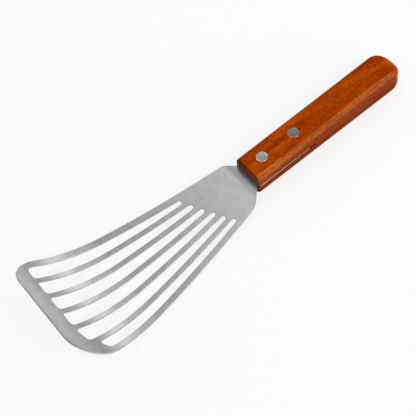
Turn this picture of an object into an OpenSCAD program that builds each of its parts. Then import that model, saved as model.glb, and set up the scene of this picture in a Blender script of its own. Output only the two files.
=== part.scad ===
// Fish spatula: a slotted sheet steel blade whose full-width tang is held in
// a sawn hardwood handle by two two-part rivets.
// The origin is the middle of the handle's underside. +X points to the butt,
// +Y to the left edge seen from the butt, +Z up. All sizes are millimetres.

/* [Handle] */
// Length of the wooden handle
handle_l = 130; // [110:1:160]
// Width of the handle
handle_w = 22.8; // [20:0.2:30]
// Thickness of the handle
handle_t = 20.2; // [16:0.2:26]
// Radius of the four long edges and of the butt's rim
edge_r = 5.2; // [2:0.1:7]
// Radius of the edges round the front face
front_r = 1.8; // [0.6:0.1:3]
// Radius of the butt seen from the side, as a share of the thickness
butt_round = 0.47; // [0.3:0.01:0.49]

/* [Tang and kerf] */
// Length of the tang inside the handle
tang_l = 46.7; // [44:0.1:80]
// Radius of the tang's two rear corners
tang_corner_r = 3; // [1:0.5:6]
// Room between the tang and the kerf, on each face
kerf_clear = 0.05; // [0.02:0.01:0.3]
// Length of kerf left open behind the tang
kerf_run = 2.6; // [0.5:0.1:6]

/* [Blade plate] */
// Thickness of the steel sheet
blade_t = 1.2; // [0.8:0.1:2]
// Length of the blade in front of the handle, on the centre line
blade_l = 160; // [140:1:190]
// Distance from the handle to the blade's lowest point, as a share of its length
belly_share = 0.606; // [0.55:0.001:0.65]
// Radius of the downward bend at the neck
neck_bend_r = 30; // [15:1:60]
// Flat stretch between the handle and the neck bend
neck_flat = 1; // [0.5:0.5:5]
// Radius of the upward curl in front of the belly
curl_r = 82; // [75:1:160]

/* [Blade outline] */
// How far the neck's left edge lies inside the handle's side
left_neck_inset = 0.3; // [0.2:0.1:2]
// How far the neck's right edge lies inside the handle's side
right_neck_inset = 1.7; // [0.2:0.1:2]
// Angle of the left shoulder to the centre line
left_shoulder_angle = 47.5; // [35:0.5:60]
// Angle of the right shoulder to the centre line
right_shoulder_angle = 45.5; // [35:0.5:60]
// Radius of the left shoulder
left_shoulder_r = 7.7; // [3:0.1:12]
// Radius of the right shoulder
right_shoulder_r = 15.9; // [3:0.1:20]
// Half width of the left side line, carried back to the handle
left_root = 16.6; // [14:0.1:19]
// Flare angle of the left side
left_flare = 10.9; // [8:0.1:14]
// Half width of the right side line, carried back to the handle
right_root = 18.7; // [15:0.1:21]
// Flare angle of the right side
right_flare = 9.1; // [7:0.1:14]
// Slant of the front edge, the right end leading
front_slant = 2.6; // [0:0.1:8]
// Radius of the left front corner
left_corner_r = 14.5; // [8:0.5:20]
// Radius of the right front corner
right_corner_r = 20.5; // [10:0.5:30]

/* [Slots] */
// Number of bars between the two borders
bar_count = 5; // [3:1:6]
// Width of one bar
bar_w = 3.5; // [3:0.1:6]
// Width of the left border beside the first slot
left_border_w = 4.7; // [4:0.1:8]
// Width of the right border beside the last slot
right_border_w = 4.1; // [3.6:0.1:8]
// Width of the solid rim along the front edge, in plan
rim_w = 9.2; // [5:0.1:14]
// Angle between neighbouring bars
fan_pitch = 3.55; // [2.8:0.05:3.8]
// Distance behind the handle's front face at which the bars would meet
fan_apex = 79.5; // [74:0.5:90]
// How far to the right of the centre line the bars would meet
fan_shift = 0.5; // [0:0.1:1]
// Distance from the handle to the first slot
slot_start = 41.7; // [38:0.1:60]
// How much nearer to the handle each next slot starts
slot_stagger = 3.3; // [0:0.1:3.6]
// Radius of the corners at the slots' front ends
slot_corner_r = 2.2; // [1:0.1:3]
// Radius of the first slot's outer corner at its front end
first_corner_r = 4.4; // [1:0.1:4.6]

/* [Rivets] */
// Distance from the handle's front face to the front rivet
rivet_inset = 13.2; // [10:0.2:20]
// Distance between the two rivets
rivet_spacing = 27; // [20:0.5:32]
// Diameter of the rivet heads
head_d = 8; // [6:0.1:10]
// Depth of the heads in the wood
head_t = 2.2; // [1.5:0.1:4]
// Height of the upper heads' crown above the wood
crown_h = 0.25; // [0.1:0.05:0.5]
// Outer diameter of the sleeve's tube
sleeve_d = 5; // [4.4:0.1:5.6]
// Diameter of the post's pin
pin_d = 3.2; // [2.4:0.1:3.6]
// Radial room of the pin in the sleeve
pin_clear = 0.02; // [0.01:0.01:0.05]
// Radial room of heads and sleeves in the wood and in the tang
hole_clear = 0.05; // [0.02:0.01:0.2]
// Room at the ends of the pin and of the sleeve's tube
end_clear = 0.3; // [0.2:0.1:0.6]
// Solid floor under the sleeve's bore
sleeve_floor = 1.4; // [1:0.1:2]

/* [Hidden] */
$fn = 96;

// Stations along the handle
front_x = -handle_l / 2;
butt_r = handle_w / 2;
butt_x = handle_l / 2 - butt_r;
butt_side_r = butt_round * handle_t;
front_rivet_x = front_x + rivet_inset;
rear_rivet_x = front_rivet_x + rivet_spacing;
tang_end_x = front_x + tang_l;

// The tang lies halfway up the handle, and the belly is level with the
// handle's underside. Two tangent arcs join them.
tang_z = handle_t / 2;
drop = tang_z - blade_t / 2;
bend_x = front_x - neck_flat;
belly_x = front_x - belly_share * blade_l;
neck_slope = 2 * atan(drop / (bend_x - belly_x));
sweep_r = (bend_x - belly_x) / sin(neck_slope) - neck_bend_r;
sweep_z = tang_z - neck_bend_r + (neck_bend_r + sweep_r) * cos(neck_slope);
curl_z = blade_t / 2 + curl_r;
curl_angle = 78;

// Steps along the three arcs of the side view
bend_steps = 5;
sweep_steps = 18;
curl_steps = 36;

// Reach of the shapes that cut the sheet
prism_h = 80;
prism_w = 90;

function unit(v) = v / norm(v);
function reversed(list) = [for (i = [len(list) - 1:-1:0]) list[i]];

// Point where the line through p at angle a crosses the line through q at angle b
function crossing(p, a, q, b) =
  let (
    u = [cos(a), sin(a)],
    v = [cos(b), sin(b)],
    k = ((q[0] - p[0]) * v[1] - (q[1] - p[1]) * v[0]) / (u[0] * v[1] - u[1] * v[0])
  )
  p + k * u;

// Rounding of a corner p between the points a and b: [centre, tangent point, tangent point]
function rounding(a, p, b, r) =
  let (
    u = unit(a - p),
    v = unit(b - p),
    half = acos(u * v) / 2
  )
  [p + unit(u + v) * r / sin(half), p + u * r / tan(half), p + v * r / tan(half)];

// Convex polygon with its own radius at each corner, 0 for a sharp one
module rounded_convex(points, radii) {
  n = len(points);
  corners = [
    for (i = [0:n - 1])
      rounding(points[(i + n - 1) % n], points[i], points[(i + 1) % n], radii[i])
  ];
  polygon([
    for (i = [0:n - 1])
      each radii[i] == 0 ? [points[i]] : [corners[i][1], corners[i][2]]
  ]);
  for (i = [0:n - 1])
    if (radii[i] > 0)
      translate(corners[i][0]) circle(r = radii[i]);
}

// Outline of the blade
left_dir = 180 - left_flare;
right_dir = 180 + right_flare;
front_dir = 90 - front_slant;
neck_left = [front_x, handle_w / 2 - left_neck_inset];
neck_right = [front_x, right_neck_inset - handle_w / 2];
left_line = [front_x, left_root];
right_line = [front_x, -right_root];
tip = [front_x - blade_l, 0];
shoulder_left = crossing(neck_left, 180 - left_shoulder_angle, left_line, left_dir);
shoulder_right = crossing(neck_right, 180 + right_shoulder_angle, right_line, right_dir);
corner_left = crossing(left_line, left_dir, tip, front_dir);
corner_right = crossing(right_line, right_dir, tip, front_dir);
right_centre = rounding(shoulder_right, corner_right, corner_left, right_corner_r)[0];

// Slot edges: the bars fan out from one apex, and the borders follow the side lines
apex = [front_x + fan_apex, -fan_shift];
function bar_angle(i) = 180 - fan_pitch * ((bar_count - 1) / 2 - i);
function beside(angle, side) = side * bar_w / 2 * [-sin(angle), cos(angle)];
function border_point(line, dir, w) = line + w * [-sin(dir), cos(dir)];

// Each edge is [point, direction]. Slot i lies between its left and right edge.
function slot_left(i) =
  i == 0
    ? [border_point(left_line, left_dir, left_border_w), left_dir]
    : [apex + beside(bar_angle(i - 1), 1), bar_angle(i - 1)];
function slot_right(i) =
  i == bar_count
    ? [border_point(right_line, right_dir, -right_border_w), right_dir]
    : [apex + beside(bar_angle(i), -1), bar_angle(i)];

// The slots end on a line beside the front edge, and the outer right ones
// follow the rounded corner
rim_point = tip + [rim_w, 0];
rim_r = right_corner_r - rim_w;
function on_rim(y) =
  let (
    straight = crossing(rim_point, front_dir, [0, y], 0)[0],
    off = y - right_centre[1],
    round_x = right_centre[0] - sqrt(max(0, rim_r * rim_r - off * off))
  )
  off < 0 ? max(straight, round_x) : straight;
function along(edge, x) = crossing(edge[0], edge[1], [x, 0], 90);
function edge_end(edge, x, tries) =
  tries == 0
    ? along(edge, x)
    : edge_end(edge, on_rim(along(edge, x)[1]), tries - 1);

module slot(i) {
  start_x = front_x - slot_start + i * slot_stagger;
  a = along(slot_left(i), start_x);
  b = along(slot_right(i), start_x);
  c = edge_end(slot_right(i), rim_point[0], 6);
  d = edge_end(slot_left(i), rim_point[0], 6);
  start_r = norm(a - b) / 2 * 0.9;
  outer_r = i == 0 ? first_corner_r : slot_corner_r;
  rounded_convex([a, b, c, d], [start_r, start_r, slot_corner_r, outer_r]);
}

// The tang narrows to the neck where the handle's front edges are rounded
module tang_plan() {
  run_in = [neck_flat, 0];
  full_x = front_x + front_r;
  rounded_convex(
    [
      neck_left - run_in, neck_right - run_in,
      [full_x, -handle_w / 2], [tang_end_x, -handle_w / 2],
      [tang_end_x, handle_w / 2], [full_x, handle_w / 2]
    ],
    [0, 0, 0, tang_corner_r, tang_corner_r, 0]
  );
}

module blade_plan() {
  difference() {
    union() {
      rounded_convex(
        [neck_left, shoulder_left, corner_left, corner_right, shoulder_right, neck_right],
        [0, left_shoulder_r, left_corner_r, right_corner_r, right_shoulder_r, 0]
      );
      tang_plan();
    }
    for (i = [0:bar_count]) slot(i);
  }
}

// Points along an arc, from one angle to another
function arc(centre, r, from, to, steps) =
  [for (i = [0:steps]) let (a = from + (to - from) * i / steps) centre + r * [cos(a), sin(a)]];

// Line that lies a given height above the middle of the sheet, seen from the
// side, from the tang's rear end to past the front edge
function sheet_line(up) = concat(
  [[tang_end_x + 1, tang_z + up]],
  arc([bend_x, tang_z - neck_bend_r], neck_bend_r + up, 90, 90 + neck_slope, bend_steps),
  arc([belly_x, sweep_z], sweep_r - up, 270 + neck_slope, 270, sweep_steps),
  arc([belly_x, curl_z], curl_r - up, 270, 270 - curl_angle, curl_steps)
);

// Side view of the sheet
module blade_profile() {
  polygon(concat(sheet_line(-blade_t / 2), reversed(sheet_line(blade_t / 2))));
}

module rivet_holes(d) {
  for (x = [front_rivet_x, rear_rivet_x])
    translate([x, 0, -1]) cylinder(h = handle_t + 2, d = d);
}

module blade() {
  color([0.72, 0.72, 0.71])
    difference() {
      intersection() {
        linear_extrude(prism_h) blade_plan();
        translate([0, prism_w, 0]) rotate([90, 0, 0]) linear_extrude(2 * prism_w) blade_profile();
      }
      rivet_holes(sleeve_d + 2 * hole_clear);
    }
}

// Cross-section of the handle, seen along its length
module handle_section() {
  rise = handle_t / 2 - edge_r;
  reach = handle_w / 2 - edge_r;
  translate([0, handle_t / 2]) {
    square([handle_w, 2 * rise], center = true);
    square([2 * reach, handle_t], center = true);
    for (y = [-reach, reach], z = [-rise, rise])
      translate([y, z]) circle(r = edge_r);
  }
}

// Side view of the handle: eased in front, rounded at the butt
module handle_side() {
  rounded_convex(
    [[front_x, 0], [-front_x, 0], [-front_x, handle_t], [front_x, handle_t]],
    [front_r, butt_side_r, butt_side_r, front_r]
  );
}

// Top view of the handle: eased in front, the butt left to its own rounding
module handle_top() {
  rounded_convex(
    [
      [front_x, -handle_w / 2], [-front_x, -handle_w / 2],
      [-front_x, handle_w / 2], [front_x, handle_w / 2]
    ],
    [front_r, 0, 0, front_r]
  );
}

module handle_blank() {
  intersection() {
    union() {
      translate([front_x, 0, 0])
        rotate([90, 0, 90]) linear_extrude(butt_x - front_x) handle_section();
      translate([butt_x, 0, 0])
        rotate([0, 0, -90])
          rotate_extrude(angle = 180)
            intersection() {
              handle_section();
              square([handle_w, handle_t]);
            }
    }
    translate([0, handle_w, 0])
      rotate([90, 0, 0]) linear_extrude(2 * handle_w) handle_side();
    linear_extrude(handle_t) handle_top();
  }
}

module handle() {
  kerf_t = blade_t + 2 * kerf_clear;
  counterbore_d = head_d + 2 * hole_clear;
  color([0.66, 0.27, 0.07])
    difference() {
      handle_blank();
      translate([front_x - 1, -handle_w, tang_z - kerf_t / 2])
        cube([tang_l + kerf_run + 1, 2 * handle_w, kerf_t]);
      rivet_holes(sleeve_d + 2 * hole_clear);
      for (x = [front_rivet_x, rear_rivet_x], z = [-1, handle_t - head_t])
        translate([x, 0, z]) cylinder(h = head_t + 1, d = counterbore_d);
    }
}

// Upper half of a rivet: a crowned head and the pin below it
module rivet_post(x) {
  pin_end = sleeve_floor + end_clear;
  crown_r = (head_d * head_d / 4 + crown_h * crown_h) / (2 * crown_h);
  color([0.70, 0.70, 0.69])
    translate([x, 0, 0]) {
      translate([0, 0, handle_t - head_t]) cylinder(h = head_t, d = head_d);
      translate([0, 0, handle_t])
        rotate_extrude()
          intersection() {
            translate([0, crown_h - crown_r]) circle(r = crown_r, $fn = 720);
            square([head_d / 2, crown_h]);
          }
      translate([0, 0, pin_end]) cylinder(h = handle_t - head_t - pin_end, d = pin_d);
    }
}

// Lower half of a rivet: a flush head and the tube that grips the pin
module rivet_sleeve(x) {
  color([0.62, 0.62, 0.61])
    translate([x, 0, 0])
      difference() {
        union() {
          cylinder(h = head_t, d = head_d);
          cylinder(h = handle_t - head_t - end_clear, d = sleeve_d);
        }
        translate([0, 0, sleeve_floor])
          cylinder(h = handle_t, d = pin_d + 2 * pin_clear);
      }
}

blade();
handle();
rivet_post(front_rivet_x);  // front_rivet_post
rivet_sleeve(front_rivet_x);  // front_rivet_sleeve
rivet_post(rear_rivet_x);  // rear_rivet_post
rivet_sleeve(rear_rivet_x);  // rear_rivet_sleeve
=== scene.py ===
"""Looks of a fish spatula: brushed sheet steel, oiled hardwood and ground rivets."""
import math

import bpy
import numpy as np
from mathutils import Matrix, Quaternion, Vector


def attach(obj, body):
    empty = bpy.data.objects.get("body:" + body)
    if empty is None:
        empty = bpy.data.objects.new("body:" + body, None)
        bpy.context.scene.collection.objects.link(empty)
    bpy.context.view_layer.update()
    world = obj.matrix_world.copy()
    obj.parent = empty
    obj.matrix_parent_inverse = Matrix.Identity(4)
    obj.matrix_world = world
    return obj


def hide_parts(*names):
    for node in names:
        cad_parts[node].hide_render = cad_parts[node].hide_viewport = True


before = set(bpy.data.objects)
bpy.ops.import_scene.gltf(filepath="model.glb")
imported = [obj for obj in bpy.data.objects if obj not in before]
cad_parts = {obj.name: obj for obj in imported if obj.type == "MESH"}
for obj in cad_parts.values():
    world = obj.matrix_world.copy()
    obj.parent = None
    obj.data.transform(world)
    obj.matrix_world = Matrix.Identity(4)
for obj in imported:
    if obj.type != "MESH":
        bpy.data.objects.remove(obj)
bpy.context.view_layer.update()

# Camera, as solved from the photograph
AIM = Vector((-0.0957, 0.0048, 0.0))
DISTANCE = 0.845
AZIMUTH = math.radians(-120.75)
ELEVATION = math.radians(58.8)
ROLL = math.radians(-10.7)
LENS = 112.5

# The floor is a light table: it glows, so that shadows stay faint
FLOOR_COLOUR = (0.22, 0.22, 0.22, 1)
FLOOR_GLOW = 0.80
FLOOR_SIZE = 6.0
FLOOR_DROP = 0.0002

# Sizes in millimetres and angles in degrees, the same as the solids have
MM = 0.001
FRONT_X = -65.0
HANDLE_W = 22.8
HANDLE_T = 20.2
EDGE_R = 5.2
FRONT_R = 1.8
BUTT_X = 53.6
FALL_X = 52.0
FALL_SHARE = 0.06
KERF_END_X = -15.7
KERF_T = 1.3
TANG_END_X = -18.3
TANG_CORNER_R = 3.0
SHEET_T = 1.2
BLADE_L = 160.0
BELLY_X = -161.96
BEND_X = -66.0
NECK_BEND_R = 30.0
CURL_R = 82.0
LEFT_NECK = 11.1
RIGHT_NECK = 9.7
LEFT_SHOULDER = 47.5
RIGHT_SHOULDER = 45.5
LEFT_SHOULDER_R = 7.7
RIGHT_SHOULDER_R = 15.9
LEFT_ROOT = 16.6
LEFT_FLARE = 10.9
RIGHT_ROOT = 18.7
RIGHT_FLARE = 9.1
FRONT_SLANT = 2.6
LEFT_CORNER_R = 14.5
RIGHT_CORNER_R = 20.5
BARS = 5
BAR_W = 3.5
LEFT_BORDER_W = 4.7
RIGHT_BORDER_W = 4.1
RIM_W = 9.2
FAN_PITCH = 3.55
FAN_APEX = 79.5
FAN_SHIFT = 0.5
SLOT_START = 41.7
SLOT_STAGGER = 3.3
SLOT_CORNER_R = 2.2
FIRST_CORNER_R = 4.4
INNER_END = 0.45
RIVETS_X = (-51.8, -24.8)
HEAD_R = 4.0
HEAD_T = 2.2
CROWN_R = 32.1
CROWN_H = 0.25
PIN_R = 1.6
SLEEVE_R = 2.5
SLEEVE_TOP = 17.7
SLEEVE_FLOOR = 1.4
PIN_END = 1.7
ROOM = 0.05
PIN_ROOM = 0.02

# Roundings too fine for the solids: tumbled sheet edges, and the rivets' rims
BURR_R = 0.22
RIM_R = 0.5

# Share by which the handle is wider at the butt; the solid is straight
SWELL = 0.042

# Steps of the grids: along a bar, round a corner, along a slot's front and
# inner end, from a slot's edge to the middle of a bar, and over the handle
ALONG = 56
CORNER_STEPS = 8
FRONT_STEPS = 6
BACK_STEPS = 2
ACROSS = 4
TOP_STEPS = 32
SIDE_STEPS = 2
BUTT_STEPS = 48
TURN_STEPS = 72

# Where the slots' surroundings end and the plain web begins, where the grid cell
# round each rivet hole in the tang ends, and half a cell round a rivet in the wood
WEB_X = -84.0
TANG_CELLS_X = (-60.0, -38.3, -21.6)
WOOD_CELL = 5.5


def direction(azimuth, elevation):
    """Unit vector that points to an azimuth and elevation, in radians."""
    flat = math.cos(elevation)
    return Vector((flat * math.cos(azimuth), flat * math.sin(azimuth), math.sin(elevation)))


def add_camera():
    """Camera that looks at AIM from DISTANCE, turned by ROLL about its view."""
    data = bpy.data.cameras.new("camera")
    data.lens = LENS
    data.sensor_width = 36
    camera = bpy.data.objects.new("camera", data)
    bpy.context.scene.collection.objects.link(camera)
    away = direction(AZIMUTH, ELEVATION)
    camera.location = AIM + DISTANCE * away
    camera.rotation_mode = "QUATERNION"
    turn = (-away).to_track_quat("-Z", "Y")
    camera.rotation_quaternion = turn @ Quaternion((0, 0, 1), ROLL)
    bpy.context.scene.camera = camera


def add_floor():
    """Plain square floor just under the tool."""
    half = FLOOR_SIZE / 2
    mesh = bpy.data.meshes.new("floor")
    corners = [(-half, -half, 0), (half, -half, 0), (half, half, 0), (-half, half, 0)]
    mesh.from_pydata(corners, [], [(0, 1, 2, 3)])
    floor = bpy.data.objects.new("floor", mesh)
    floor.location.z = -FLOOR_DROP
    bpy.context.scene.collection.objects.link(floor)
    material, shader, _ = new_material("floor")
    shader.inputs["Base Color"].default_value = FLOOR_COLOUR
    shader.inputs["Roughness"].default_value = 0.9
    shader.inputs["Emission Color"].default_value = (1, 1, 1, 1)
    shader.inputs["Emission Strength"].default_value = FLOOR_GLOW
    mesh.materials.append(material)


def add_light(name, azimuth, elevation, distance, width, height, glow):
    """Softbox that shines at the middle of the object; glow is its brightness."""
    data = bpy.data.lights.new(name, "AREA")
    data.shape = "RECTANGLE"
    data.size = width
    data.size_y = height
    data.energy = glow * math.pi * width * height
    light = bpy.data.objects.new(name, data)
    bpy.context.scene.collection.objects.link(light)
    away = direction(math.radians(azimuth), math.radians(elevation))
    light.location = AIM + distance * away
    light.rotation_mode = "QUATERNION"
    light.rotation_quaternion = (-away).to_track_quat("-Z", "Y")


def add_world(strength):
    """Even white light from all sides."""
    world = bpy.data.worlds.new("studio")
    world.use_nodes = True
    background = world.node_tree.nodes["Background"]
    background.inputs["Color"].default_value = (1, 1, 1, 1)
    background.inputs["Strength"].default_value = strength
    bpy.context.scene.world = world


def unit(vectors):
    """Vectors scaled to length 1."""
    return vectors / np.linalg.norm(vectors, axis=-1, keepdims=True)


def heading(degrees):
    """Unit vector of the top view: (cos, sin) of the angle."""
    angle = math.radians(degrees)
    return np.array([math.cos(angle), math.sin(angle)])


def meet(p, a, q, b):
    """Point where the line through p at angle a crosses the line through q at angle b."""
    u = heading(a)
    v = heading(b)
    cross = u[0] * v[1] - u[1] * v[0]
    return p + ((q[0] - p[0]) * v[1] - (q[1] - p[1]) * v[0]) / cross * u


def corner_centre(a, p, b, r):
    """Centre of a corner's rounding: r / sin(half the angle) from p on its bisector."""
    u = unit(a - p)
    v = unit(b - p)
    return p + unit(u + v) * r / math.sin(math.acos(u @ v) / 2)


def corner_arc(a, p, b, r, steps):
    """Arc that rounds the corner p between a and b: centre + r * (cos, sin) of a turn."""
    centre = corner_centre(a, p, b, r)
    start, end = unit(p + np.outer([(centre - p) @ unit(q - p) for q in (a, b)], [1, 1])
                      * unit(np.stack([a, b]) - p) - centre)
    turn = math.atan2(start[0] * end[1] - start[1] * end[0], start @ end)
    angles = math.atan2(start[1], start[0]) + turn * np.linspace(0, 1, steps + 1)
    return centre + r * np.stack([np.cos(angles), np.sin(angles)], 1)


def rounded_line(points, radii, steps=240):
    """Open line through points; each inner point is rounded by its radius, 0 for sharp."""
    parts = [points[0][None]]
    for a, p, b, r in zip(points, points[1:], points[2:], radii):
        parts.append(corner_arc(a, p, b, r, steps) if r else p[None])
    parts.append(points[-1][None])
    return np.concatenate(parts)


def straight(a, b, steps):
    """a + (b - a) * t at steps + 1 even places."""
    return a + (b - a) * np.linspace(0, 1, steps + 1)[:, None]


def closed(parts):
    """Closed loop of lines that each start where the one before ends."""
    return np.concatenate([part[:-1] for part in parts])


def cell_edge(grid, a, b):
    """Loop round the rows a to b of a grid: first column, row a, last column, row b."""
    rows = grid[a:b + 1]
    return closed([rows[::-1, 0], rows[0], rows[:, -1], rows[-1, ::-1]])


def ring(inner, outer, steps=ACROSS):
    """Grid between two loops: inner + (outer - inner) * t, closed round the loops."""
    t = np.linspace(0, 1, steps + 1)[:, None]
    grid = inner[:, None] + (outer - inner)[:, None] * t
    return np.concatenate([grid, grid[:1]])


def flat(points, normal):
    """Patch of points that all face one way."""
    return points, np.broadcast_to(np.array(normal, float), points.shape)


def patch_quads(points, normals):
    """Quads of a grid of points, turned to face the way its normals point."""
    index = np.arange(points.shape[0] * points.shape[1]).reshape(points.shape[:2])
    corners = [index[:-1, :-1], index[1:, :-1], index[1:, 1:], index[:-1, 1:]]
    quads = np.stack(corners, -1).reshape(-1, 4)
    p = points.reshape(-1, 3)[quads]
    face = np.cross(p[:, 2] - p[:, 0], p[:, 3] - p[:, 1])
    agree = (face * normals.reshape(-1, 3)[quads].mean(1)).sum()
    return quads if agree > 0 else quads[:, ::-1]


def sewn(patches):
    """One closed shell from patches of (points, normals).

    Points closer than 0.1 micron become one, and a quad whose corners meet at a
    pole becomes a triangle. Each face's corners keep their own patch's normals.
    """
    starts = np.cumsum([0] + [points[..., 0].size for points, _ in patches])
    quads = np.concatenate([patch_quads(*patch) + start for patch, start in zip(patches, starts)])
    points = np.concatenate([points.reshape(-1, 3) for points, _ in patches])
    normals = unit(np.concatenate([normals.reshape(-1, 3) for _, normals in patches]))
    keys = np.round(points * 10000)
    _, first, place = np.unique(keys, axis=0, return_index=True, return_inverse=True)
    corners = place.reshape(-1)[quads]
    kept = corners != np.roll(corners, -1, 1)
    ends = np.cumsum(kept.sum(1))
    faces = [face.tolist() for face in np.split(corners[kept], ends[:-1])]
    return points[first], faces, normals[quads[kept]]


def add_piece(name, patches, node, material):
    """Mesh object from patches in millimetres, standing for a CAD node."""
    points, faces, normals = sewn(patches)
    mesh = bpy.data.meshes.new(name)
    mesh.from_pydata((points * MM).tolist(), [], faces)
    mesh.normals_split_custom_set(normals.tolist())
    mesh.materials.append(material)
    piece = bpy.data.objects.new(name, mesh)
    bpy.context.scene.collection.objects.link(piece)
    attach(piece, "root")
    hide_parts(node)


# The blade's outline in the top view
left_dir = 180 - LEFT_FLARE
right_dir = 180 + RIGHT_FLARE
front_dir = 90 - FRONT_SLANT
neck_left = np.array([FRONT_X, LEFT_NECK])
neck_right = np.array([FRONT_X, -RIGHT_NECK])
left_line = np.array([FRONT_X, LEFT_ROOT])
right_line = np.array([FRONT_X, -RIGHT_ROOT])
tip = np.array([FRONT_X - BLADE_L, 0.0])
apex = np.array([FRONT_X + FAN_APEX, -FAN_SHIFT])
web_left = meet(left_line, left_dir, np.array([WEB_X, 0.0]), 90)
web_right = meet(right_line, right_dir, np.array([WEB_X, 0.0]), 90)
shoulder_left = meet(neck_left, 180 - LEFT_SHOULDER, left_line, left_dir)
shoulder_right = meet(neck_right, 180 + RIGHT_SHOULDER, right_line, right_dir)
corner_left = meet(left_line, left_dir, tip, front_dir)
corner_right = meet(right_line, right_dir, tip, front_dir)


def bar_angle(i):
    """Direction of a bar, fanned out from the apex."""
    return 180 - FAN_PITCH * ((BARS - 1) / 2 - i)


def beside(point, angle, width):
    """A line's point moved by a width to its left, and the line's angle."""
    return point + width * heading(angle + 90), angle


def slot_edges(i):
    """A slot's left and right edge lines, each as a point and an angle."""
    left = beside(apex, bar_angle(i - 1), BAR_W / 2)
    right = beside(apex, bar_angle(i), -BAR_W / 2)
    if i == 0:
        left = beside(left_line, left_dir, LEFT_BORDER_W)
    if i == BARS:
        right = beside(right_line, right_dir, -RIGHT_BORDER_W)
    return left, right


def edge_end(edge):
    """Front end of a slot's edge line.

    It lies on the rim's line, or on the arc inside the right corner where that
    comes first; seven turns of line and rim close in on it.
    """
    centre = corner_centre(shoulder_right, corner_right, corner_left, RIGHT_CORNER_R)
    end = tip
    for _ in range(7):
        x = meet(tip + [RIM_W, 0], front_dir, end, 0)[0]
        off = min(0, end[1] - centre[1])
        arc_x = centre[0] - math.sqrt(max(0, (RIGHT_CORNER_R - RIM_W) ** 2 - off ** 2))
        end = meet(*edge, np.array([max(x, arc_x) if off else x, 0.0]), 90)
    return end


def slot_loop(i):
    """Edge of a slot, anticlockwise: left side, front end, right side, inner end."""
    left, right = slot_edges(i)
    start = np.array([FRONT_X - SLOT_START + i * SLOT_STAGGER, 0.0])
    corners = [meet(*left, start, 90), edge_end(left), edge_end(right), meet(*right, start, 90)]
    inner_r = np.linalg.norm(corners[0] - corners[3]) * INNER_END
    radii = [inner_r, SLOT_CORNER_R if i else FIRST_CORNER_R, SLOT_CORNER_R, inner_r]
    arcs = [
        corner_arc(corners[k - 1], corners[k], corners[(k + 1) % 4], radii[k], CORNER_STEPS)
        for k in range(4)
    ]
    return closed([
        straight(arcs[0][-1], arcs[1][0], ALONG), arcs[1],
        straight(arcs[1][-1], arcs[2][0], FRONT_STEPS), arcs[2],
        straight(arcs[2][-1], arcs[3][0], ALONG), arcs[3],
        straight(arcs[3][-1], arcs[0][0], BACK_STEPS), arcs[0],
    ])


# The sheet's side view: flat tang, neck bend, long sweep to the belly, curl
neck_slope = 2 * math.atan((HANDLE_T - SHEET_T) / 2 / (BEND_X - BELLY_X))
sweep_r = (BEND_X - BELLY_X) / math.sin(neck_slope) - NECK_BEND_R


def lower_face(plan):
    """The sheet's lower face over points of the top view: points and upward normals.

    Each stretch is an arc: its height is that of the centre, less or plus
    root(r^2 - run^2), and its slope arcsin(run / r), with run counted in x from
    the centre.
    """
    x = plan[..., 0]
    bend_r = NECK_BEND_R - SHEET_T / 2
    belly_r = sweep_r + SHEET_T / 2
    curl_r = CURL_R + SHEET_T / 2
    tang_z = (HANDLE_T - SHEET_T) / 2
    bend = np.clip(BEND_X - x, 0, bend_r)
    sweep = np.clip(x - BELLY_X, 0, belly_r)
    curl = np.clip(BELLY_X - x, 0, curl_r)
    on_sweep = x < BEND_X - bend_r * math.sin(neck_slope)
    on_curl = x < BELLY_X
    height = np.select([on_curl, on_sweep], [
        curl_r - np.sqrt(curl_r ** 2 - curl ** 2),
        belly_r - np.sqrt(belly_r ** 2 - sweep ** 2),
    ], tang_z - bend_r + np.sqrt(bend_r ** 2 - bend ** 2))
    slope = np.select([on_curl, on_sweep], [
        -np.arcsin(curl / curl_r),
        np.arcsin(sweep / belly_r),
    ], np.arcsin(bend / bend_r))
    normals = np.stack([-np.sin(slope), np.zeros_like(slope), np.cos(slope)], -1)
    return np.concatenate([plan, height[..., None]], -1), normals


def outward(loop, side):
    """Unit vectors that lie in the sheet, square to its edge, and point off the steel."""
    points, normals = lower_face(loop)
    ahead = unit(np.roll(points, -1, 0) - points)
    return side * unit(np.cross(unit(ahead + np.roll(ahead, 1, 0)), normals))


def set_in(loop, side):
    """The edge moved into the steel by the radius of its rounding."""
    return loop - BURR_R * outward(loop, side)[:, :2]


def edge_wall(loop, side):
    """Wall along an edge: quarter round, flat, quarter round, carried along the loop.

    point = set-in point + (centre + r cos turn) * normal + r sin turn * outward,
    where the centre is r below the upper face and then r above the lower one.
    """
    base, normal = lower_face(set_in(loop, side))
    out = outward(loop, side)
    turn = np.radians([0, 30, 60, 90, 90, 120, 150, 180])
    centre = np.repeat([SHEET_T - BURR_R, BURR_R], 4)
    rise = (centre + BURR_R * np.cos(turn))[:, None]
    reach = BURR_R * np.sin(turn)[:, None]
    base, normal, out = (np.concatenate([v, v[:1]])[:, None] for v in (base, normal, out))
    points = base + rise * normal + reach * out
    return points, np.cos(turn)[:, None] * normal + np.sin(turn)[:, None] * out


def both_faces(plan):
    """Upper and lower face of the sheet over a grid of the top view."""
    points, normals = lower_face(plan)
    return [(points + SHEET_T * normals, normals), (points, -normals)]


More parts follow.
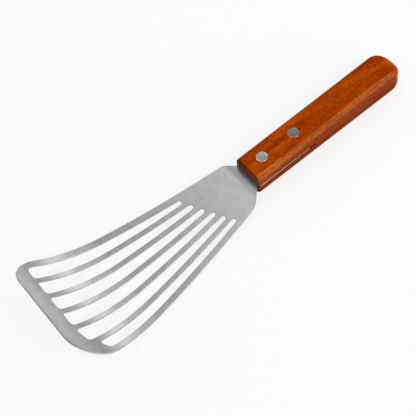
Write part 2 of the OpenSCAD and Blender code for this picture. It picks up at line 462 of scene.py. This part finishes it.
def tang_rows():
    """Ends of the rows over web, neck and tang: left points, right points, cell rows."""
    full_x = FRONT_X + FRONT_R
    rounding_x = TANG_END_X - TANG_CORNER_R
    cells = TANG_CELLS_X
    turn = np.linspace(0, math.pi / 2, CORNER_STEPS + 1)
    spans = [
        np.linspace(WEB_X, FRONT_X, 38, endpoint=False),
        np.linspace(FRONT_X, full_x, 3, endpoint=False),
        np.linspace(full_x, cells[0], 4, endpoint=False),
        np.linspace(cells[0], cells[1], 28, endpoint=False),
        np.linspace(cells[1], cells[2], 22, endpoint=False),
        np.array([cells[2]]),
        rounding_x + TANG_CORNER_R * np.sin(turn),
    ]
    x = np.concatenate(spans)
    rear = [np.array([TANG_END_X, HANDLE_W / 2]), np.array([TANG_END_X, 0.0])]
    left = rounded_line(
        [web_left, shoulder_left, neck_left, np.array([full_x, HANDLE_W / 2]), *rear],
        [LEFT_SHOULDER_R, 0, 0, TANG_CORNER_R],
    )[:-1]
    right = rounded_line(
        [web_right * [1, -1], shoulder_right * [1, -1], neck_right * [1, -1],
         np.array([full_x, HANDLE_W / 2]), *rear],
        [RIGHT_SHOULDER_R, 0, 0, TANG_CORNER_R],
    )[:-1]
    left = np.stack([x, np.interp(x, *left.T)], 1)
    right = np.stack([x, -np.interp(x, *right.T)], 1)
    return left, right, np.cumsum([len(span) for span in spans])[2:5]


def blade_patches():
    """The stamped sheet: rings round the slots and rivet holes, rows between, edge walls.

    Everything is laid out in the top view and lifted onto the sheet's two faces.
    Neighbouring slots share the middle line of the bar between them.
    """
    front = 2 * CORNER_STEPS + FRONT_STEPS
    back = 2 * CORNER_STEPS + BACK_STEPS
    rim = rounded_line(
        [web_left, corner_left, corner_right, web_right], [LEFT_CORNER_R, RIGHT_CORNER_R]
    )[1:-1]
    run = np.concatenate([[0], np.cumsum(np.linalg.norm(np.diff(rim, axis=0), axis=1))])
    bars = [np.interp(0, (rim - apex) @ heading(bar_angle(i) + 90), run) for i in range(BARS)]
    marks = np.interp(np.arange(front * (BARS + 1) + 1) / front,
                      np.arange(BARS + 2), [0, *bars, run[-1]])
    rim = np.stack([np.interp(marks, run, rim[:, k]) for k in (0, 1)], 1)
    left, right, cell_rows = tang_rows()
    bar_starts = [meet(apex, bar_angle(i), web_left, -90) for i in range(BARS)]
    shares = [(web_left - p)[1] / (web_left - web_right)[1] for p in bar_starts]
    columns = np.interp(np.arange(back * (BARS + 1) + 1) / back,
                        np.arange(BARS + 2), [0, *shares, 1])[:, None]
    edge = closed([
        straight(web_left, rim[0], ALONG), rim, straight(rim[-1], web_right, ALONG), right,
        left[-1] + (right[-1] - left[-1]) * columns[::-1], left[::-1],
    ])
    inset = set_in(edge, 1)
    inset = np.concatenate([inset, inset[:1]])
    rim_start = ALONG
    rim_end = rim_start + len(rim) - 1
    rows = len(left) - 1
    web_end = rim_end + ALONG
    left_rows = inset[::-1][:rows + 1]
    right_rows = inset[web_end:web_end + rows + 1]
    grid = left_rows[:, None] + (right_rows - left_rows)[:, None] * columns
    grid[-1] = inset[web_end + rows:web_end + rows + len(columns)][::-1]
    patches = [edge_wall(edge, 1)]
    sides = [inset[:ALONG + 1]]
    sides += [straight(grid[0, back * (i + 1)], inset[rim_start + front * (i + 1)], ALONG)
              for i in range(BARS)]
    sides.append(inset[rim_end:web_end + 1][::-1])
    for i in range(BARS + 1):
        slot = slot_loop(i)
        outer = closed([
            sides[i], inset[rim_start + front * i:rim_start + front * (i + 1) + 1],
            sides[i + 1][::-1], grid[0, back * i:back * (i + 1) + 1][::-1],
        ])
        patches += both_faces(ring(set_in(slot, -1), outer))
        patches.append(edge_wall(slot, -1))
    for x, a, b in zip(RIVETS_X, cell_rows, cell_rows[1:]):
        outer = cell_edge(grid, a, b)
        hole = [x, 0] + (SLEEVE_R + ROOM) * unit(outer - [x, 0])
        patches += both_faces(ring(set_in(hole, -1), outer))
        patches.append(edge_wall(hole, -1))
    patches += both_faces(grid[:cell_rows[0] + 1])
    patches += both_faces(grid[cell_rows[-1]:])
    return patches


def turned(axis, spokes, parts):
    """Walls round an upright axis: axis + radius * spoke + height, for each part's line.

    A line of (radius, height) has its outer side to the right of its run, and
    parts meet at a sharp edge.
    """
    spokes = np.concatenate([spokes, spokes[:1]])[:, None]
    up = np.array([0.0, 0.0, 1.0])
    patches = []
    for line in parts:
        line = np.array(line, float)
        ahead = np.gradient(line, axis=0)
        points = axis + line[:, :1] * spokes + line[:, 1:] * up
        patches.append((points, ahead[:, 1:] * spokes - ahead[:, :1] * up))
    return patches


def mirrored(patches, axis, plane):
    """Patches mirrored in a plane square to an axis."""
    turn = np.ones(3)
    turn[axis] = -1
    shift = np.zeros(3)
    shift[axis] = 2 * plane
    return [(points * turn + shift, normals * turn) for points, normals in patches]


def bore_patches(x, outer, kerf_edge):
    """A rivet's place in the upper half: rings in two faces, pocket, and bore to the kerf."""
    axis = np.array([x, 0, 0])
    spokes = unit((outer - axis) * [1, 1, 0])
    pocket_r = HEAD_R + ROOM
    bore_r = SLEEVE_R + ROOM
    pocket_z = HANDLE_T - HEAD_T
    kerf_z = kerf_edge[0, 2]
    mouth = axis + pocket_r * spokes + [0, 0, HANDLE_T]
    inlet = axis + bore_r * spokes + [0, 0, kerf_z]
    return turned(axis, spokes, [
        [(pocket_r, HANDLE_T), (pocket_r, pocket_z)],
        [(pocket_r, pocket_z), (bore_r, pocket_z)],
        [(bore_r, pocket_z), (bore_r, kerf_z)],
    ]) + [flat(ring(mouth, outer), (0, 0, 1)), flat(ring(inlet, kerf_edge), (0, 0, -1))]


def butt_fall(patch):
    """The butt's rounding seen from the side, laid over points and normals.

    Height over the middle is multiplied by share + (1 - share) * root(1 - run^2),
    where run goes from 0 to 1 over the handle's last stretch. It stops just short
    of 1, where the slope has no limit.
    """
    points, normals = patch
    mid = HANDLE_T / 2
    rise = points[..., 2] - mid
    reach = -FRONT_X - FALL_X
    run = np.clip((points[..., 0] - FALL_X) / reach, 0, 0.9999)
    arc = np.sqrt(1 - run ** 2)
    fall = FALL_SHARE + (1 - FALL_SHARE) * arc
    slope = -(1 - FALL_SHARE) * run / (arc * reach)
    nx, ny, nz = np.moveaxis(normals, -1, 0)
    turned_normals = np.stack([nx - nz * rise * slope / fall, ny, nz / fall], -1)
    return np.concatenate([points[..., :2], (mid + rise * fall)[..., None]], -1), turned_normals


def swelled(patch):
    """The handle's slight swell towards the butt, laid over points and normals.

    Width is multiplied by 1 + swell * run, where run goes from 0 at the front to 1
    where the butt's turn starts.
    """
    points, normals = patch
    x, y, z = np.moveaxis(points, -1, 0)
    reach = BUTT_X - FRONT_X
    swell = 1 + SWELL * np.clip((x - FRONT_X) / reach, 0, 1)
    nx, ny, nz = np.moveaxis(normals, -1, 0)
    slope = np.where(x < BUTT_X, SWELL / reach, 0)
    turned_normals = np.stack([nx - ny * y * slope / swell, ny / swell, nz], -1)
    return np.stack([x, y * swell, z], -1), turned_normals


def handle_patches():
    """The handle: rounded-rectangle sections carried along it and turned round the butt.

    A section's point is (half width - r + r cos a, half height - r + r sin a),
    and the front's quarter round takes r (1 - sin e) off all three. The upper
    half is made, with the kerf's upper face and the rivets' bores, and mirrored
    for the lower one; behind the kerf, strips close the two together.
    """
    mid = HANDLE_T / 2
    kerf = KERF_T / 2
    cells = [x + side * WOOD_CELL for x in RIVETS_X for side in (-1, 1)]
    stops = [FRONT_X + FRONT_R, *cells, KERF_END_X, FALL_X, BUTT_X]
    steps = [4, 14, 6, 14, 2, 12, 2]
    body_x = np.concatenate([
        np.linspace(a, b, n, endpoint=False) for a, b, n in zip(stops, stops[1:], steps)
    ] + [[BUTT_X]])
    ease = np.linspace(0, math.pi / 2, 7)[:-1]
    rows = len(ease) + np.cumsum([0, *steps])
    x = np.concatenate([FRONT_X + FRONT_R * (1 - np.cos(ease)), body_x])[:, None]
    ease = np.concatenate([ease, np.full(len(body_x), math.pi / 2)])[:, None]
    lost = FRONT_R * (1 - np.sin(ease))
    r = EDGE_R - lost
    core_y = HANDLE_W / 2 - EDGE_R
    core_z = mid - EDGE_R
    rise = np.linspace(0, 1, SIDE_STEPS, endpoint=False)
    round_turn = np.linspace(0, math.pi / 2, CORNER_STEPS + 1)
    turn = np.concatenate([0 * rise, round_turn])
    y = core_y + r * np.cos(turn)
    z = np.concatenate([
        kerf + (core_z - kerf) * rise + 0 * r, core_z + r * np.sin(round_turn),
    ], 1)
    flank = np.stack([x + 0 * y, y, mid + z], -1)
    front_share = -np.cos(ease) + 0 * y
    flank_normals = np.stack([
        front_share, np.sin(ease) * np.cos(turn), np.sin(ease) * np.sin(turn),
    ], -1)
    across = np.linspace(0, 2, TOP_STEPS + 1)[:, None] * np.array([0, 1, 0])
    decks = flank[:, :, None] * (1 - across)
    top = decks[:, -1]
    top_normals = np.stack([-np.cos(ease), 0 * ease, np.sin(ease)], -1) + 0 * top
    kerf_face = decks[:rows[5] + 1, 0]
    half = [(flank, flank_normals), *mirrored([(flank, flank_normals)], 1, 0)]
    half.append(flat(decks[0], (-1, 0, 0)))
    spans = [(0, rows[1]), (rows[2], rows[3]), (rows[4], len(top) - 1)]
    half += [(top[a:b + 1], top_normals[a:b + 1]) for a, b in spans]
    spans[-1] = (rows[4], rows[5])
    half += [flat(kerf_face[a:b + 1], (0, 0, -1)) for a, b in spans]
    for rivet_x, a, b in zip(RIVETS_X, rows[[1, 3]], rows[[2, 4]]):
        half += bore_patches(rivet_x, cell_edge(top, a, b), cell_edge(kerf_face, a, b))
    spin = np.linspace(0, math.pi, BUTT_STEPS + 1)[:, None]
    radius = np.concatenate([flank[-1, :, 1], np.linspace(core_y, 0, TOP_STEPS // 2 + 1)[1:]])
    height = np.concatenate([flank[-1, :, 2], np.full(TOP_STEPS // 2, HANDLE_T)])
    turn = np.concatenate([turn, np.full(TOP_STEPS // 2, math.pi / 2)])
    butt = np.stack([
        BUTT_X + radius * np.sin(spin), radius * np.cos(spin), height + 0 * spin,
    ], -1)
    butt_normals = np.stack([
        np.cos(turn) * np.sin(spin), np.cos(turn) * np.cos(spin), np.sin(turn) + 0 * spin,
    ], -1)
    half.append((butt, butt_normals))
    drop = np.array([[0, 0, 0], [0, 0, KERF_T]])
    side = flat(flank[rows[5]:, :1] - drop, (0, 1, 0))
    strips = [side, *mirrored([side], 1, 0)]
    strips.append((butt[:, :1] - drop, butt_normals[:, :1] + 0 * drop))
    strips.append(flat(decks[rows[5], 0][:, None] - drop, (-1, 0, 0)))
    return [swelled(butt_fall(patch)) for patch in half + mirrored(half, 2, mid) + strips]


def rim_line(r, z, up):
    """Quarter round of a rivet head's rim, on the way outwards for up = -1."""
    turn = np.linspace(0, math.pi / 2, 5)
    return np.stack([r - RIM_R + RIM_R * np.cos(turn), z + up * RIM_R * np.sin(turn)], 1)


def post_patches(x):
    """Upper half of a rivet, turned: a pin, and a head with a crown of radius CROWN_R."""
    turn = np.linspace(0, 2 * math.pi, TURN_STEPS, endpoint=False)
    spokes = np.stack([np.cos(turn), np.sin(turn), 0 * turn], 1)
    head_z = HANDLE_T - HEAD_T
    radius = np.linspace(HEAD_R - RIM_R, 0, 12)
    crown = np.stack([radius, HANDLE_T + CROWN_H - radius ** 2 / (2 * CROWN_R)], 1)
    rim = rim_line(HEAD_R, crown[0, 1] - RIM_R, 1)
    return turned(np.array([x, 0, 0]), spokes, [
        [(0, PIN_END), (PIN_R, PIN_END)],
        [(PIN_R, PIN_END), (PIN_R, head_z)],
        [(PIN_R, head_z), (HEAD_R, head_z)],
        [(HEAD_R, head_z), rim[0]],
        np.concatenate([rim[:-1], crown]),
    ])


def sleeve_patches(x):
    """Lower half of a rivet, turned: a flush head, and a tube round the pin."""
    turn = np.linspace(0, 2 * math.pi, TURN_STEPS, endpoint=False)
    spokes = np.stack([np.cos(turn), np.sin(turn), 0 * turn], 1)
    bore_r = PIN_R + PIN_ROOM
    rim = rim_line(HEAD_R, RIM_R, -1)[::-1]
    return turned(np.array([x, 0, 0]), spokes, [
        np.concatenate([[(0, 0), (HEAD_R / 2, 0)], rim]),
        [rim[-1], (HEAD_R, HEAD_T)],
        [(HEAD_R, HEAD_T), (SLEEVE_R, HEAD_T)],
        [(SLEEVE_R, HEAD_T), (SLEEVE_R, SLEEVE_TOP)],
        [(SLEEVE_R, SLEEVE_TOP), (bore_r, SLEEVE_TOP)],
        [(bore_r, SLEEVE_TOP), (bore_r, SLEEVE_FLOOR)],
        [(bore_r, SLEEVE_FLOOR), (0, SLEEVE_FLOOR)],
    ])


def new_material(name):
    """(material, its Principled shader, a function that adds a node)"""
    material = bpy.data.materials.new(name)
    material.use_nodes = True
    nodes = material.node_tree.nodes

    def node(kind, **values):
        made = nodes.new(kind)
        for key, value in values.items():
            if hasattr(made, key):
                setattr(made, key, value)
            else:
                made.inputs[key.replace("_", " ")].default_value = value
        return made

    return material, nodes["Principled BSDF"], node


def join(material, source, target):
    """Link from one socket to another."""
    material.node_tree.links.new(source, target)


def ramp(node, stops):
    """Colour ramp with (place, colour) stops."""
    made = node("ShaderNodeValToRGB")
    elements = made.color_ramp.elements
    while len(elements) < len(stops):
        elements.new(0.5)
    for element, (place, colour) in zip(elements, stops):
        element.position = place
        element.color = (*colour, 1)
    return made


def stretched(material, node, scale):
    """Object coordinates scaled on each axis."""
    place = node("ShaderNodeTexCoord")
    mapping = node("ShaderNodeMapping")
    mapping.inputs["Scale"].default_value = scale
    join(material, place.outputs["Object"], mapping.inputs["Vector"])
    return mapping.outputs["Vector"]


def fade(material, node, value, start, end, low, high):
    """Smooth change from low to high while a value goes from start to end."""
    made = node("ShaderNodeMapRange", interpolation_type="SMOOTHSTEP")
    join(material, value, made.inputs["Value"])
    for key, amount in zip(("From Min", "From Max", "To Min", "To Max"), (start, end, low, high)):
        made.inputs[key].default_value = amount
    return made.outputs["Result"]


def worked(material, node, operation, value, number):
    """A value after one sum with a number."""
    made = node("ShaderNodeMath", operation=operation)
    join(material, value, made.inputs[0])
    made.inputs[1].default_value = number
    return made.outputs["Value"]


def combined(material, node, operation, a, b):
    """One value out of two."""
    made = node("ShaderNodeMath", operation=operation)
    join(material, a, made.inputs[0])
    join(material, b, made.inputs[1])
    return made.outputs["Value"]


def place_of(material, node):
    """Object coordinates, one socket for each axis."""
    place = node("ShaderNodeTexCoord")
    split = node("ShaderNodeSeparateXYZ")
    join(material, place.outputs["Object"], split.inputs["Vector"])
    return split.outputs


def multiplied(material, node, a, b, share):
    """Colour a multiplied by colour b, to a share that is a number or another value."""
    mixed = node("ShaderNodeMix", data_type="RGBA", blend_type="MULTIPLY")
    if isinstance(share, (int, float)):
        mixed.inputs["Factor"].default_value = share
    else:
        join(material, share, mixed.inputs["Factor"])
    join(material, a, mixed.inputs["A"])
    join(material, b, mixed.inputs["B"])
    return mixed.outputs["Result"]


def steel_material():
    """Stainless sheet: satin, with fine grinding lines across the tool."""
    material, shader, node = new_material("ground sheet steel")
    lines = node("ShaderNodeTexNoise", Scale=1.0, Detail=5.0, Roughness=0.65)
    join(material, stretched(material, node, (1500, 130, 130)), lines.inputs["Vector"])
    clouds = node("ShaderNodeTexNoise", Scale=1.0, Detail=4.0, Roughness=0.6)
    join(material, stretched(material, node, (170, 110, 110)), clouds.inputs["Vector"])
    base = ramp(node, [(0.25, (0.48, 0.48, 0.48)), (0.75, (0.59, 0.59, 0.595))])
    join(material, clouds.outputs["Fac"], base.inputs["Fac"])
    scores = ramp(node, [(0.30, (0.78, 0.78, 0.78)), (0.54, (1, 1, 1))])
    join(material, lines.outputs["Fac"], scores.inputs["Fac"])
    tint = multiplied(material, node, base.outputs["Color"], scores.outputs["Color"], 0.8)
    # Painted shade: the tang between the wood is darkened, where the kerf keeps the light off it
    x = place_of(material, node)["X"]
    scale = fade(material, node, x, (FRONT_X - 0.5) * MM, (FRONT_X + 0.5) * MM, 1.0, 0.85)
    tint = multiplied(material, node, tint, scale, 1.0)
    join(material, tint, shader.inputs["Base Color"])
    rough = node("ShaderNodeMapRange", To_Min=0.24, To_Max=0.40)
    join(material, lines.outputs["Fac"], rough.inputs["Value"])
    join(material, rough.outputs["Result"], shader.inputs["Roughness"])
    bump = node("ShaderNodeBump", Strength=0.05, Distance=0.0002)
    join(material, lines.outputs["Fac"], bump.inputs["Height"])
    join(material, bump.outputs["Normal"], shader.inputs["Normal"])
    shader.inputs["Metallic"].default_value = 1.0
    return material


def round_edge(share):
    """Distance from the middle plane to a share of the long edge's rounding, in metres."""
    return (HANDLE_W / 2 - EDGE_R + share * EDGE_R) * MM


def wood_grain(material, node, off_middle):
    """Hardwood's colour and its flecks: bands of tone, short flecks and dark pores.

    The bands are fainter on the sides, where the saw cut along the grain.
    """
    bands = node("ShaderNodeTexNoise", Scale=1.0, Detail=5.0, Roughness=0.55, Distortion=0.6)
    join(material, stretched(material, node, (22, 150, 150)), bands.inputs["Vector"])
    flecks = node("ShaderNodeTexNoise", Scale=1.0, Detail=4.0, Roughness=0.7)
    join(material, stretched(material, node, (420, 1100, 1100)), flecks.inputs["Vector"])
    pores = node("ShaderNodeTexNoise", Scale=1.0, Detail=2.0, Roughness=0.5)
    join(material, stretched(material, node, (260, 1900, 1900)), pores.inputs["Vector"])
    start, end = round_edge(0.3), round_edge(0.9)
    strength = fade(material, node, off_middle, start, end, 1.0, 0.3)
    spread = worked(material, node, "SUBTRACT", bands.outputs["Fac"], 0.5)
    spread = combined(material, node, "MULTIPLY", spread, strength)
    spread = worked(material, node, "ADD", spread, 0.5)
    tone = ramp(node, [
        (0.30, (0.35, 0.030, 0.0006)),
        (0.50, (0.51, 0.064, 0.0009)),
        (0.70, (0.73, 0.126, 0.0020)),
    ])
    join(material, spread, tone.inputs["Fac"])
    speckle = ramp(node, [(0.36, (0.60, 0.50, 0.45)), (0.50, (1, 1, 1)), (0.66, (1.25, 1.4, 1.3))])
    join(material, flecks.outputs["Fac"], speckle.inputs["Fac"])
    dots = ramp(node, [(0.30, (0.45, 0.38, 0.32)), (0.40, (1, 1, 1))])
    join(material, pores.outputs["Fac"], dots.inputs["Fac"])
    colour = multiplied(material, node, tone.outputs["Color"], speckle.outputs["Color"], 0.9)
    colour = multiplied(material, node, colour, dots.outputs["Color"], 0.6)
    return colour, flecks.outputs["Fac"]


def kerf_shade(material, node, place):
    """Painted shade on the wood next to and behind the saw kerf: its brightness, darkened where
    the kerf's shadow falls.
    """
    off = worked(material, node, "SUBTRACT", place["Z"], HANDLE_T / 2 * MM)
    off = worked(material, node, "ABSOLUTE", off, 0)
    half = KERF_T / 2 * MM
    beside = fade(material, node, off, half, 1.7 * half, 0.4, 1.0)
    end = KERF_END_X * MM
    behind = fade(material, node, place["X"], end, end + 0.8 * MM, 0.4, 1.0)
    return combined(material, node, "MAXIMUM", beside, behind)


def painted_edge_sheen(material, node, place):
    """Painted highlight on the upper edge on the right, a sheen of light on the rounding, and its
    share.
    """
    right = worked(material, node, "MULTIPLY", place["Y"], -1)
    share = fade(material, node, right, round_edge(0.36), round_edge(0.54), 0.0, 1.0)
    low = (HANDLE_T - 2.04 * EDGE_R) * MM
    high = (HANDLE_T - 0.42 * EDGE_R) * MM
    height = fade(material, node, place["Z"], low, high, 0.0, 1.0)
    painted_sheen = ramp(node, [
        (0.0, (1, 1, 1)),
        (0.28, (1.10, 1.22, 2.0)),
        (0.71, (1.30, 1.55, 8.0)),
        (0.90, (1.22, 1.9, 18.0)),
        (1.0, (1.08, 2.05, 30.0)),
    ])
    join(material, height, painted_sheen.inputs["Fac"])
    return painted_sheen.outputs["Color"], share


def wood_material():
    """Reddish brown oiled hardwood with a thin satin finish."""
    material, shader, node = new_material("oiled hardwood")
    place = place_of(material, node)
    off_middle = worked(material, node, "ABSOLUTE", place["Y"], 0)
    colour, flecks = wood_grain(material, node, off_middle)
    # The end grain in front is darker: partly its own tone under oil, partly painted shade on the
    # face turned from the light
    start, end = (FRONT_X + 0.2) * MM, (FRONT_X + FRONT_R) * MM
    end_grain_and_shade = fade(material, node, place["X"], start, end, 0.36, 1.0)
    colour = multiplied(material, node, colour, end_grain_and_shade, 1.0)
    # Painted shade along the saw kerf
    colour = multiplied(material, node, colour, kerf_shade(material, node, place), 1.0)
    # Painted shade on the sides, darker and browner, and darker still towards the bottom
    side = fade(material, node, off_middle, round_edge(0.95), round_edge(1), 0.0, 1.0)
    side_shade = ramp(node, [(0.0, (1, 1, 1)), (1.0, (0.55, 0.53, 1.0))])
    join(material, side, side_shade.inputs["Fac"])
    colour = multiplied(material, node, colour, side_shade.outputs["Color"], 1.0)
    # Painted shade towards the bottom of the handle
    low = fade(material, node, place["Z"], 5 * MM, 12 * MM, 0.78, 1.0)
    colour = multiplied(material, node, colour, low, 1.0)
    # Painted highlight on the right upper edge
    painted_sheen, share = painted_edge_sheen(material, node, place)
    colour = multiplied(material, node, colour, painted_sheen, share)
    join(material, colour, shader.inputs["Base Color"])
    bump = node("ShaderNodeBump", Strength=0.10, Distance=0.0002)
    join(material, flecks, bump.inputs["Height"])
    join(material, bump.outputs["Normal"], shader.inputs["Normal"])
    shader.inputs["Roughness"].default_value = 0.22
    shader.inputs["Specular IOR Level"].default_value = 0.012
    shader.inputs["Specular Tint"].default_value = (1.0, 0.62, 0.30, 1)
    return material


def rivet_material():
    """Rivet heads ground flush: mottled grey."""
    material, shader, node = new_material("ground rivet")
    grit = node("ShaderNodeTexNoise", Scale=1.0, Detail=4.0, Roughness=0.7)
    join(material, stretched(material, node, (900, 900, 900)), grit.inputs["Vector"])
    tint = ramp(node, [(0.3, (0.30, 0.30, 0.295)), (0.7, (0.52, 0.52, 0.51))])
    join(material, grit.outputs["Fac"], tint.inputs["Fac"])
    # The rear rivet is the duller one
    middle = sum(RIVETS_X) / 2
    place = place_of(material, node)
    start, end = (middle - HEAD_R) * MM, (middle + HEAD_R) * MM
    dull = fade(material, node, place["X"], start, end, 1.0, 0.55)
    colour = multiplied(material, node, tint.outputs["Color"], dull, 1.0)
    # Painted highlight on the rims, brightened all round: distance from the nearer rivet's axis
    along = worked(material, node, "SUBTRACT", place["X"], middle * MM)
    along = worked(material, node, "ABSOLUTE", along, 0)
    along = worked(material, node, "SUBTRACT", along, (RIVETS_X[1] - middle) * MM)
    along = worked(material, node, "POWER", worked(material, node, "ABSOLUTE", along, 0), 2)
    aside = worked(material, node, "POWER", worked(material, node, "ABSOLUTE", place["Y"], 0), 2)
    radius = worked(material, node, "SQRT", combined(material, node, "ADD", along, aside), 0)
    start, end = (HEAD_R - 1.5 * RIM_R) * MM, (HEAD_R - 0.5 * RIM_R) * MM
    painted_rim_highlight = fade(material, node, radius, start, end, 1.0, 2.2)
    colour = multiplied(material, node, colour, painted_rim_highlight, 1.0)
    join(material, colour, shader.inputs["Base Color"])
    bump = node("ShaderNodeBump", Strength=0.15, Distance=0.0001)
    join(material, grit.outputs["Fac"], bump.inputs["Height"])
    join(material, bump.outputs["Normal"], shader.inputs["Normal"])
    shader.inputs["Metallic"].default_value = 1.0
    shader.inputs["Roughness"].default_value = 0.34
    return material


add_camera()
add_floor()
add_world(0.40)
add_light("web box", 121, 64, 1.2, width=0.58, height=0.58, glow=1.10)
add_light("belly box", 48, 53, 1.2, width=0.42, height=0.42, glow=0.64)
add_light("curl box", 31, 31, 1.0, width=0.50, height=0.32, glow=1.50)
add_light("near strip", -70, 32, 1.2, width=0.40, height=0.90, glow=3.6)
bpy.context.scene.view_settings.view_transform = "Standard"

add_piece("slotted_blade", blade_patches(), "blade", steel_material())
add_piece("wooden_handle", handle_patches(), "handle", wood_material())
rivet_metal = rivet_material()
for end, x in zip(("front", "rear"), RIVETS_X):
    post = end + "_rivet_post"
    sleeve = end + "_rivet_sleeve"
    add_piece(end + "_rivet_head", post_patches(x), post, rivet_metal)
    add_piece(end + "_rivet_tube", sleeve_patches(x), sleeve, rivet_metal)
